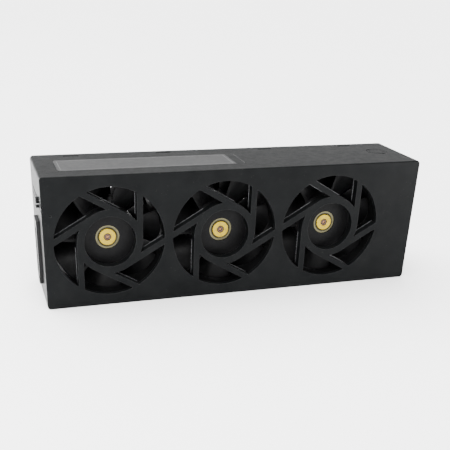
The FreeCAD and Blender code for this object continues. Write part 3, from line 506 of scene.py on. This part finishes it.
def add_turning(shape, axis, profile, steps, along="Y"):
    """A closed ring turned from (radius, distance) corners round a line through axis."""
    rings = []
    for step in range(steps):
        angle = math.tau * step / steps
        ring = []
        for radius, distance in profile:
            across, up = radius * math.cos(angle), radius * math.sin(angle)
            offset = (across, distance, up) if along == "Y" else (across, up, distance)
            ring.append(shape.verts.new(Vector(axis) + Vector(offset)))
        rings.append(ring)
    for step in range(steps):
        here, there = rings[step], rings[(step + 1) % steps]
        for corner in range(len(profile)):
            after = (corner + 1) % len(profile)
            shape.faces.new((here[corner], here[after], there[after], there[corner]))
    bmesh.ops.remove_doubles(shape, verts=[vert for ring in rings for vert in ring], dist=1e-7)


def add_tube(shape, points, radius, sides):
    """A round wire along points, with flat ends."""
    rings = []
    side = None
    for place, point in enumerate(points):
        before = points[max(place - 1, 0)]
        after = points[min(place + 1, len(points) - 1)]
        ahead = (after - before).normalized()
        if side is None:
            side = ahead.orthogonal().normalized()
        side = (side - ahead * side.dot(ahead)).normalized()
        other = ahead.cross(side)
        ring = []
        for step in range(sides):
            angle = math.tau * step / sides
            ring.append(shape.verts.new(
                point + radius * (side * math.cos(angle) + other * math.sin(angle))))
        rings.append(ring)
    for here, there in zip(rings, rings[1:]):
        for step in range(sides):
            after = (step + 1) % sides
            shape.faces.new((here[step], here[after], there[after], there[step]))
    shape.faces.new(rings[0][::-1])
    shape.faces.new(rings[-1])


def rounded_outline(low_x, low_y, high_x, high_y, radius, steps=6):
    """Corners of a rounded rectangle, anticlockwise."""
    outline = []
    middles = ((high_x - radius, high_y - radius), (low_x + radius, high_y - radius),
               (low_x + radius, low_y + radius), (high_x - radius, low_y + radius))
    for quarter, (x, y) in enumerate(middles):
        for step in range(steps + 1):
            angle = math.pi / 2 * (quarter + step / steps)
            outline.append((x + radius * math.cos(angle), y + radius * math.sin(angle)))
    return outline


def add_sheet(shape, outline, bottom, top):
    """A flat sheet of an outline in X and Y between two heights."""
    lower = [shape.verts.new((x, y, bottom)) for x, y in outline]
    upper = [shape.verts.new((x, y, top)) for x, y in outline]
    shape.faces.new(lower[::-1])
    shape.faces.new(upper)
    for place in range(len(outline)):
        after = (place + 1) % len(outline)
        shape.faces.new((lower[place], lower[after], upper[after], upper[place]))


def in_millimetres(profile):
    """Corners given in millimetres, in metres."""
    return [(radius * MM, distance * MM) for radius, distance in profile]


def round_axis(axis, y, step, count):
    """The frame at one of count equal turns round a fan's axis, at a depth along it."""
    turn = Matrix.Rotation(math.tau * step / count, 4, "Y")
    return Matrix.Translation((axis.x, y, axis.z)) @ turn


# ---------------------------------------------------------------- label and moulded marks

LABEL_CORNER = 1.6 * MM
LABEL_LIFT = 0.02 * MM
END_PANEL = 5.0 * MM
BORDER_INSET = 1.4 * MM
BORDER_WIDTH = 0.3 * MM


def label_film():
    """Bare label film in its recess, with a plain border line and a darker end panel."""
    low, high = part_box("label_blank")
    face = high.z - LABEL_LIFT
    shape = bmesh.new()
    add_sheet(shape, rounded_outline(low.x, low.y, high.x, high.y, LABEL_CORNER), low.z, face)
    film = finished_piece("label_film", shape, "casing", "label_film")
    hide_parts("label_blank")

    shape = bmesh.new()
    left, corner_x, edge_x = high.x - END_PANEL, high.x - LABEL_CORNER, high.x - BORDER_WIDTH
    add_sheet(shape, [(left, low.y + BORDER_WIDTH), (corner_x, low.y + BORDER_WIDTH),
                      (edge_x, low.y + LABEL_CORNER), (edge_x, high.y - LABEL_CORNER),
                      (corner_x, high.y - BORDER_WIDTH), (left, high.y - BORDER_WIDTH)],
              face - LABEL_LIFT, high.z)
    finished_piece("label_end_panel", shape, "casing", "label_film", FINISHES["shell_plastic"])

    shape = bmesh.new()
    low_x, high_x = low.x + BORDER_INSET, left - BORDER_INSET
    low_y, high_y = low.y + BORDER_INSET, high.y - BORDER_INSET
    for x in (low_x, high_x - BORDER_WIDTH):
        add_block(shape, (x, low_y, face - LABEL_LIFT), (x + BORDER_WIDTH, high_y, high.z))
    for y in (low_y, high_y - BORDER_WIDTH):
        add_block(shape, (low_x + BORDER_WIDTH, y, face - LABEL_LIFT),
                  (high_x - BORDER_WIDTH, y + BORDER_WIDTH, high.z))
    finished_piece("label_border", shape, "casing", "label_film", PRINTED_LINE)


MARK_FROM_RIGHT = 13.8 * MM
MARK_FROM_FRONT = 24.0 * MM
TICK_COUNT = 12
TICK_START = 3.5 * MM
TICK_END = 4.6 * MM
TICK_WIDTH = 0.25 * MM
TICK_RISE = 0.06 * MM
POINTER_SIDE = 0.9 * MM
POINTER_TAIL = 1.6 * MM
POINTER_TIP = 2.4 * MM


def mould_dial():
    """Plain tick marks and a pointer inside the round mark on the top."""
    low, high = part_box("front_shell")
    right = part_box("rear_cover")[1].x
    middle = Vector((right - MARK_FROM_RIGHT, low.y + MARK_FROM_FRONT, high.z))
    shape = bmesh.new()
    for tick in range(TICK_COUNT):
        turn = Matrix.Rotation(math.tau * tick / TICK_COUNT, 4, "Z")
        add_placed_block(shape, Matrix.Translation(middle) @ turn,
                         (TICK_START, -TICK_WIDTH / 2, -TICK_RISE),
                         (TICK_END, TICK_WIDTH / 2, TICK_RISE))
    pointer = [(-POINTER_SIDE, -POINTER_TAIL), (POINTER_SIDE, -POINTER_TAIL), (0.0, POINTER_TIP)]
    add_sheet(shape, [(middle.x + x, middle.y + y) for x, y in pointer],
              middle.z - TICK_RISE, middle.z + TICK_RISE)
    finished_piece("mould_dial", shape, "casing", "shell_plastic")


# ---------------------------------------------------------------- motor pieces

COIL_WIDTH = 6.8 * MM
COIL_DEPTH = 2.2 * MM
TOOTH_WIDTH = 2.8 * MM
TOOTH_LENGTH = 8.2 * MM
WIRE_RADIUS = 0.21 * MM
WIRE_SIDES = 6
WIRE_BEND = 0.45
WIRE_BEND_STEPS = 3
LAYERS = 4
TURNS = 5
POLES = 4


def coil_windings(fan):
    """Enamelled wire wound in layers round each tooth of one stator."""
    axis = FAN_AXIS[fan]
    low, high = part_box("stator_coils_" + fan)
    reach = high.x - axis.x
    shape = bmesh.new()
    for pole in range(POLES):
        spin = round_axis(axis, (low.y + high.y) / 2, pole, POLES)
        points = []
        for layer in range(LAYERS):
            out = (layer + 0.5) / LAYERS
            half_y = TOOTH_LENGTH / 2 + out * (high.y - low.y - TOOTH_LENGTH) / 2
            half_z = TOOTH_WIDTH / 2 + out * (COIL_WIDTH - TOOTH_WIDTH) / 2
            bend = min(half_y, half_z) * WIRE_BEND
            path = rounded_outline(-half_y, -half_z, half_y, half_z, bend, WIRE_BEND_STEPS)
            order = range(TURNS) if layer % 2 == 0 else reversed(range(TURNS))
            for turn in order:
                inward = COIL_DEPTH * ((turn + 0.5) / TURNS)
                points += [spin @ Vector((reach - inward, y, z)) for y, z in path]
        add_tube(shape, points, WIRE_RADIUS, WIRE_SIDES)
    coils = finished_piece("coil_windings_" + fan, shape, "casing", "coil_copper", smooth=True)
    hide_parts("stator_coils_" + fan)


SMALL_RING_STEPS = 40
BEAD_INNER = 0.8 * MM
BEAD_OUTER = 1.75 * MM
BEAD_PROUD = 0.12 * MM


def shaft_bead(fan):
    """The dark bead of retaining lacquer round the shaft's end on the face of the bush."""
    axis = FAN_AXIS[fan]
    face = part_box("hub_bush_" + fan)[0].y
    end = min(face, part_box("fan_shaft_" + fan)[0].y)
    profile = [(BEAD_INNER, face + BEAD_PROUD), (BEAD_INNER, end - BEAD_PROUD / 2),
               ((BEAD_INNER + BEAD_OUTER) / 2, end - BEAD_PROUD),
               (BEAD_OUTER, face - BEAD_PROUD / 3), (BEAD_OUTER, face + BEAD_PROUD)]
    shape = bmesh.new()
    add_turning(shape, (axis.x, 0.0, axis.z), profile, SMALL_RING_STEPS)
    finished_piece("shaft_bead_" + fan, shape, "rotor_" + fan, "shaft_steel", RETAINING_LACQUER,
                   smooth=True)


SHAFT_CLEARANCE = 1.53 * MM
BEARING_RADIUS = 4.0 * MM
BEARING_WIDTH = 4.0 * MM
RACE_WALL = 0.75 * MM
RACE_EASE = 0.12 * MM
SHIELD_INSET = 0.25 * MM
SHIELD_THICK = 0.2 * MM


def ball_bearings(fan):
    """Shielded ball bearings: outer race, inner race and a pressed shield on each side."""
    axis = FAN_AXIS[fan]
    low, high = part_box("bearings_" + fan)
    inner_race = (SHAFT_CLEARANCE, SHAFT_CLEARANCE + RACE_WALL)
    outer_race = (BEARING_RADIUS - RACE_WALL, BEARING_RADIUS)
    hole, rim = inner_race[1] + SHIELD_THICK, outer_race[0]
    shape = bmesh.new()
    for start in (low.y, high.y - BEARING_WIDTH):
        base = Vector((axis.x, start, axis.z))
        for inner, outer in (outer_race, inner_race):
            race = [(inner, RACE_EASE), (inner + RACE_EASE, 0.0), (outer - RACE_EASE, 0.0),
                    (outer, RACE_EASE), (outer, BEARING_WIDTH - RACE_EASE),
                    (outer - RACE_EASE, BEARING_WIDTH), (inner + RACE_EASE, BEARING_WIDTH),
                    (inner, BEARING_WIDTH - RACE_EASE)]
            add_turning(shape, base, race, SMALL_RING_STEPS)
        for depth in (SHIELD_INSET, BEARING_WIDTH - SHIELD_INSET - SHIELD_THICK):
            shield = [(hole, depth), (rim, depth), (rim, depth + SHIELD_THICK),
                      (hole, depth + SHIELD_THICK)]
            add_turning(shape, base, shield, SMALL_RING_STEPS)
    races = finished_piece("ball_bearings_" + fan, shape, "casing", "bearing_steel")
    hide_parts("bearings_" + fan)


# Left edge and foot from the fan's axis, then width, height and thickness, in millimetres.
DRIVER_CHIPS = ((-2.6, 7.6, 5.2, 4.2, 1.2), (7.0, 3.2, 3.0, 2.6, 0.9),
                (-9.8, -1.6, 2.6, 3.0, 0.9))
# Rows of equal small parts: their count and pitch, then the first one as above.
DRIVER_ROWS = ((4, 1.5, 6.6, -4.2, 0.7, 1.5, 0.6), (3, 1.5, -8.6, 4.6, 0.7, 1.4, 0.6),
               (4, 1.3, -2.4, 12.1, 0.6, 0.9, 0.35), (4, 1.3, -2.4, 6.6, 0.5, 0.8, 0.3))
CHIP_EASE = 0.12 * MM
SMALL_EASE = 0.06 * MM
COIL_PAD_RADIUS = 12.2 * MM
COIL_PAD_STEPS = 16
COIL_PAD_PROFILE = in_millimetres([(0.0, 0.5), (0.35, 0.42), (0.7, 0.1), (0.75, 0.0), (0.0, 0.0)])


def add_mounted_parts(shape, axis, back, parts, ease):
    """Small blocks that stand on the back face of a driver board."""
    for x, z, width, tall, thick in parts:
        add_block(shape, (axis.x + x * MM, back, axis.z + z * MM),
                  (axis.x + (x + width) * MM, back + thick * MM, axis.z + (z + tall) * MM), ease)


def driver_parts(fan):
    """Driver chip, coil pads, capacitors and the position sensor on one driver board."""
    axis = FAN_AXIS[fan]
    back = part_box("driver_board_" + fan)[1].y
    shape = bmesh.new()
    add_mounted_parts(shape, axis, back, DRIVER_CHIPS, CHIP_EASE)
    finished_piece("driver_chips_" + fan, shape, "casing", "plug_plastic")

    shape = bmesh.new()
    smalls = [(x + pitch * step, z, *size) for count, pitch, x, z, *size in DRIVER_ROWS
              for step in range(count)]
    add_mounted_parts(shape, axis, back, smalls, SMALL_EASE)
    for pole in range(POLES):
        angle = math.tau * (pole + 0.5) / POLES
        centre = Vector((axis.x + COIL_PAD_RADIUS * math.cos(angle), back,
                         axis.z + COIL_PAD_RADIUS * math.sin(angle)))
        add_turning(shape, centre, COIL_PAD_PROFILE, COIL_PAD_STEPS)
    finished_piece("driver_smalls_" + fan, shape, "casing", "contact_brass", SOLDERED_METAL)


# ---------------------------------------------------------------- wiring

LEAD_INSET = 0.5 * MM
LEAD_PITCH = 1.0 * MM
LEAD_BEND = 1.2 * MM
LEAD_BEND_STEPS = 6
SLEEVE_RADIUS = 0.44 * MM
SLEEVE_SIDES = 12


def lead_x(axis, wire):
    """Where one of a fan's leads lies along the module."""
    return axis.x + (wire - (len(LEAD_COLOURS) - 1) / 2) * LEAD_PITCH


def fan_lead_wires():
    """Four sleeved wires to each fan, from the motor cup down its lowest vane to the board."""
    low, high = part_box("fan_leads")
    top, back = high.z - LEAD_INSET, high.y - LEAD_INSET
    for wire, (colour, finish) in enumerate(LEAD_COLOURS.items()):
        shape = bmesh.new()
        for axis in FAN_AXIS.values():
            x = lead_x(axis, wire)
            points = [Vector((x, low.y, top))]
            for step in range(LEAD_BEND_STEPS + 1):
                angle = math.pi / 2 * step / LEAD_BEND_STEPS
                points.append(Vector((x, back - LEAD_BEND + LEAD_BEND * math.sin(angle),
                                      top - LEAD_BEND + LEAD_BEND * math.cos(angle))))
            points.append(Vector((x, back, low.z)))
            add_tube(shape, points, SLEEVE_RADIUS, SLEEVE_SIDES)
        wires = finished_piece("lead_wires_" + colour, shape, "casing", "lead_sleeve", finish,
                               smooth=True)
        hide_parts("fan_leads")


LEAD_PAD_SIDE = 0.35 * MM
LEAD_PAD_START = 8.0 * MM
LEAD_PAD_END = 5.6 * MM
LEAD_PAD_RISE = 0.08 * MM
CAPACITORS = 4
CAPACITOR_PITCH = 2.8 * MM
CAPACITOR_LEFT = -5.0 * MM
CAPACITOR_RIGHT = -3.4 * MM
CAPACITOR_FRONT = 3.0 * MM
CAPACITOR_BACK = 3.9 * MM
CAPACITOR_RISE = 0.7 * MM
CAPACITOR_EASE = 0.08 * MM
CAN_STEPS = 32
CAN_PROFILE = in_millimetres([(0.0, 0.0), (2.5, 0.0), (2.6, 0.3), (2.35, 0.7), (2.6, 1.1),
                              (2.6, 5.2), (2.3, 5.5), (2.1, 5.4), (0.0, 5.4)])


def wiring_parts():
    """Solder pads on the wiring board, and capacitors and a filter can between the fans."""
    low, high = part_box("wiring_board")
    shape = bmesh.new()
    for axis in FAN_AXIS.values():
        for wire in range(len(LEAD_COLOURS)):
            x = lead_x(axis, wire)
            add_block(shape, (x - LEAD_PAD_SIDE, high.y - LEAD_PAD_START, high.z),
                      (x + LEAD_PAD_SIDE, high.y - LEAD_PAD_END, high.z + LEAD_PAD_RISE))
    for x in BETWEEN_FANS:
        for step in range(CAPACITORS):
            add_block(shape, (x + CAPACITOR_LEFT + CAPACITOR_PITCH * step,
                              low.y + CAPACITOR_FRONT, high.z),
                      (x + CAPACITOR_RIGHT + CAPACITOR_PITCH * step,
                       low.y + CAPACITOR_BACK, high.z + CAPACITOR_RISE), CAPACITOR_EASE)
    finished_piece("board_smalls", shape, "casing", "contact_brass", SOLDERED_METAL)

    shape = bmesh.new()
    for x in BETWEEN_FANS:
        foot = Vector((x, (low.y + high.y) / 2, high.z))
        add_turning(shape, foot, CAN_PROFILE, CAN_STEPS, "Z")
    finished_piece("filter_cans", shape, "casing", "pin_steel", SOLDERED_METAL)


# ---------------------------------------------------------------- exhaust

SEAL_INNER = 26.3 * MM
SEAL_OUTER = 28.8 * MM
SEAL_LENGTH = 2.2 * MM
SEAL_INSET = 0.1 * MM
SEAL_SHOULDER = 0.3
SEAL_STEPS = 96


def exhaust_seals():
    """A rounded foam seal inside the edge of each exhaust opening, against the fan's frame."""
    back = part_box("rear_cover")[1].y - SEAL_INSET
    front = back - SEAL_LENGTH
    middle = (SEAL_INNER + SEAL_OUTER) / 2
    profile = [(SEAL_OUTER, front), (middle, front),
               (SEAL_INNER, back - SEAL_LENGTH * (1 - SEAL_SHOULDER)),
               (SEAL_INNER, back - SEAL_LENGTH * SEAL_SHOULDER),
               (middle, back), (SEAL_OUTER, back)]
    for fan, axis in FAN_AXIS.items():
        shape = bmesh.new()
        add_turning(shape, (axis.x, 0.0, axis.z), profile, SEAL_STEPS)
        finished_piece("exhaust_seal_" + fan, shape, "casing", "isolator_rubber", smooth=True)


# ---------------------------------------------------------------- intake guards

RING_RADIUS = 16.6 * MM
STRUT_WIDTH = 3.0 * MM
STRUT_DEPTH = 4.5 * MM
STRUT_COUNT = 6
OPENING_RADIUS = 27.9 * MM
EDGE_WIDTH = 0.28 * MM
EDGE_DEPTH = 0.5 * MM
INNER_EDGE_START = 0.75 * RING_RADIUS


def strut_highlight_edges(fan):
    """Beads along the rear edges of one guard's six struts, in a pale finish that paints the highlight those edges
    catch.
    """
    axis = FAN_AXIS[fan]
    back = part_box("front_shell")[0].y + STRUT_DEPTH
    # Each bead: the strut's side that it lies along, the way it stands out and where it starts.
    beads = ((RING_RADIUS, EDGE_WIDTH, STRUT_WIDTH),
             (RING_RADIUS - STRUT_WIDTH, -EDGE_WIDTH, INNER_EDGE_START))
    shape = bmesh.new()
    for strut in range(STRUT_COUNT):
        spin = round_axis(axis, 0.0, strut, STRUT_COUNT)
        for side, outward, start in beads:
            end = math.sqrt((OPENING_RADIUS - EDGE_WIDTH) ** 2 - (side + outward) ** 2)
            low, high = sorted((side, side + outward))
            add_placed_block(shape, spin, (low, back - EDGE_DEPTH, start), (high, back, end),
                             EDGE_WIDTH / 4)
    # The beads' pale finish is painted highlight.
    finished_piece("strut_highlight_edges_" + fan, shape, "casing", "shell_plastic", PAINTED_HIGHLIGHT_EDGE)


# ---------------------------------------------------------------- left end

RIDGE_HEIGHTS = (54.9 * MM, 53.2 * MM, 51.0 * MM)
RIDGE_FRONT = 8.5 * MM
RIDGE_LENGTH = 3.4 * MM
RIDGE_THICK = 0.8 * MM
RIDGE_PROUD = 1.5 * MM
RIDGE_ROOT = 0.4 * MM
RIDGE_EASE = 0.2 * MM


def finger_ridges():
    """Three short ridges that stand out from the left end beside its grooves."""
    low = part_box("front_shell")[0]
    front = low.y + RIDGE_FRONT
    shape = bmesh.new()
    for height in RIDGE_HEIGHTS:
        middle = low.z + height
        add_block(shape, (low.x - RIDGE_PROUD, front, middle - RIDGE_THICK / 2),
                  (low.x + RIDGE_ROOT, front + RIDGE_LENGTH, middle + RIDGE_THICK / 2),
                  RIDGE_EASE)
    finished_piece("finger_ridges", shape, "casing", "shell_plastic")


# ---------------------------------------------------------------- handle

GRIP_RIBS = 7
GRIP_START = 2.2 * MM
GRIP_PITCH = 1.6 * MM
GRIP_WIDTH = 0.7 * MM
GRIP_RISE = 0.35 * MM
GRIP_EASE = 0.6 * GRIP_RISE
GRIP_INSET = 6.0 * MM


def lever_grip():
    """Raised ribs that give the fingers a hold near the lever's free edge."""
    low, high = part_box("handle_lever")
    shape = bmesh.new()
    for rib in range(GRIP_RIBS):
        front = low.y + GRIP_START + GRIP_PITCH * rib
        add_block(shape, (high.x - GRIP_RISE, front, low.z + GRIP_INSET),
                  (high.x + GRIP_RISE, front + GRIP_WIDTH, high.z - GRIP_INSET), GRIP_EASE)
    finished_piece("lever_grip", shape, "handle", "lever_plastic")


# ---------------------------------------------------------------- the module's own pieces

label_film()
mould_dial()
for fan_name in FANS:
    coil_windings(fan_name)
    ball_bearings(fan_name)
    shaft_bead(fan_name)
    strut_highlight_edges(fan_name)
    driver_parts(fan_name)
fan_lead_wires()
wiring_parts()
exhaust_seals()
finger_ridges()
lever_grip()


# ---------------------------------------------------------------- studio

FLOOR_SIZE = 30.0
FLOOR_CELLS = 8
FLOOR_CLOUDS = 3.0
CAMERA_PLACE = (-0.1317, -0.3723, 0.1606)
CAMERA_TURN = (62.89, -2.10, -17.83)
CAMERA_SENSOR_MM = 36.0
CAMERA_LENS_MM = 59.8
CAMERA_SHIFT = (0.022, 0.259)
CAMERA_NEAR = 0.01


def studio_floor():
    """A plain pale floor under the module."""
    mesh = bpy.data.meshes.new("floor")
    shape = bmesh.new()
    bmesh.ops.create_grid(shape, x_segments=FLOOR_CELLS, y_segments=FLOOR_CELLS,
                          size=FLOOR_SIZE / 2)
    shape.to_mesh(mesh)
    shape.free()
    floor = bpy.data.objects.new("floor", mesh)
    bpy.context.scene.collection.objects.link(floor)
    material, tree, shader = new_material("pale studio floor", Roughness=0.9,
                                          Specular_IOR_Level=0.1)
    cloudy = noise(tree, object_place(tree), FLOOR_CLOUDS, 3.0)
    tone = mix_colours(tree, cloudy, (0.93, 0.93, 0.93), (0.95, 0.95, 0.95))
    tree.links.new(tone, shader.inputs["Base Color"])
    mesh.materials.append(material)


def add_lamp(name, kind, aim, power):
    """A light of a kind that shines along aim, and its settings."""
    light = bpy.data.lights.new(name, kind)
    light.energy = power
    lamp = bpy.data.objects.new(name, light)
    lamp.rotation_euler = Vector(aim).to_track_quat("-Z", "Y").to_euler()
    bpy.context.scene.collection.objects.link(lamp)
    return lamp, light


def soft_light(name, place, target, size, power):
    """A rectangular soft box that points at a place on the module."""
    lamp, light = add_lamp(name, "AREA", Vector(target) - Vector(place), power)
    lamp.location = place
    light.shape = "RECTANGLE"
    light.size, light.size_y = size


def wide_light(name, direction, spread, strength):
    """A large distant diffuser that lights floor and module evenly."""
    light = add_lamp(name, "SUN", direction, strength)[1]
    light.angle = math.radians(spread)


def studio_world():
    """A pale surround that fills the shadows."""
    world = bpy.data.worlds.new("pale surround")
    world.use_nodes = True
    background = world.node_tree.nodes["Background"]
    background.inputs["Color"].default_value = (1.0, 1.0, 1.0, 1.0)
    background.inputs["Strength"].default_value = 1.0
    bpy.context.scene.world = world


def studio_camera():
    """The view from the front, a little to the left and above."""
    data = bpy.data.cameras.new("camera")
    data.sensor_width = CAMERA_SENSOR_MM
    data.lens = CAMERA_LENS_MM
    data.shift_x, data.shift_y = CAMERA_SHIFT
    data.clip_start = CAMERA_NEAR
    camera = bpy.data.objects.new("camera", data)
    camera.location = CAMERA_PLACE
    camera.rotation_euler = Euler([math.radians(turn) for turn in CAMERA_TURN])
    bpy.context.scene.collection.objects.link(camera)
    bpy.context.scene.camera = camera


studio_floor()
studio_world()
studio_camera()
wide_light("overhead diffuser", direction=(0.25, -0.45, -1.0), spread=75.0, strength=9.0)
soft_light("left box", place=(-1.3, 0.45, 0.7), target=(cad_low + cad_high) / 2,
           size=(0.9, 0.9), power=17.0)
soft_light("low right card", place=(0.30, -0.26, 0.035), target=(0.13, -0.02, 0.0),
           size=(0.14, 0.05), power=0.5)
soft_light("left front card", place=(-0.42, -0.36, 0.16), target=(-0.14, -0.02, 0.04),
           size=(0.25, 0.25), power=3.4)
wide_light("front diffuser", direction=(0.05, 0.7, -1.0), spread=50.0, strength=5.0)
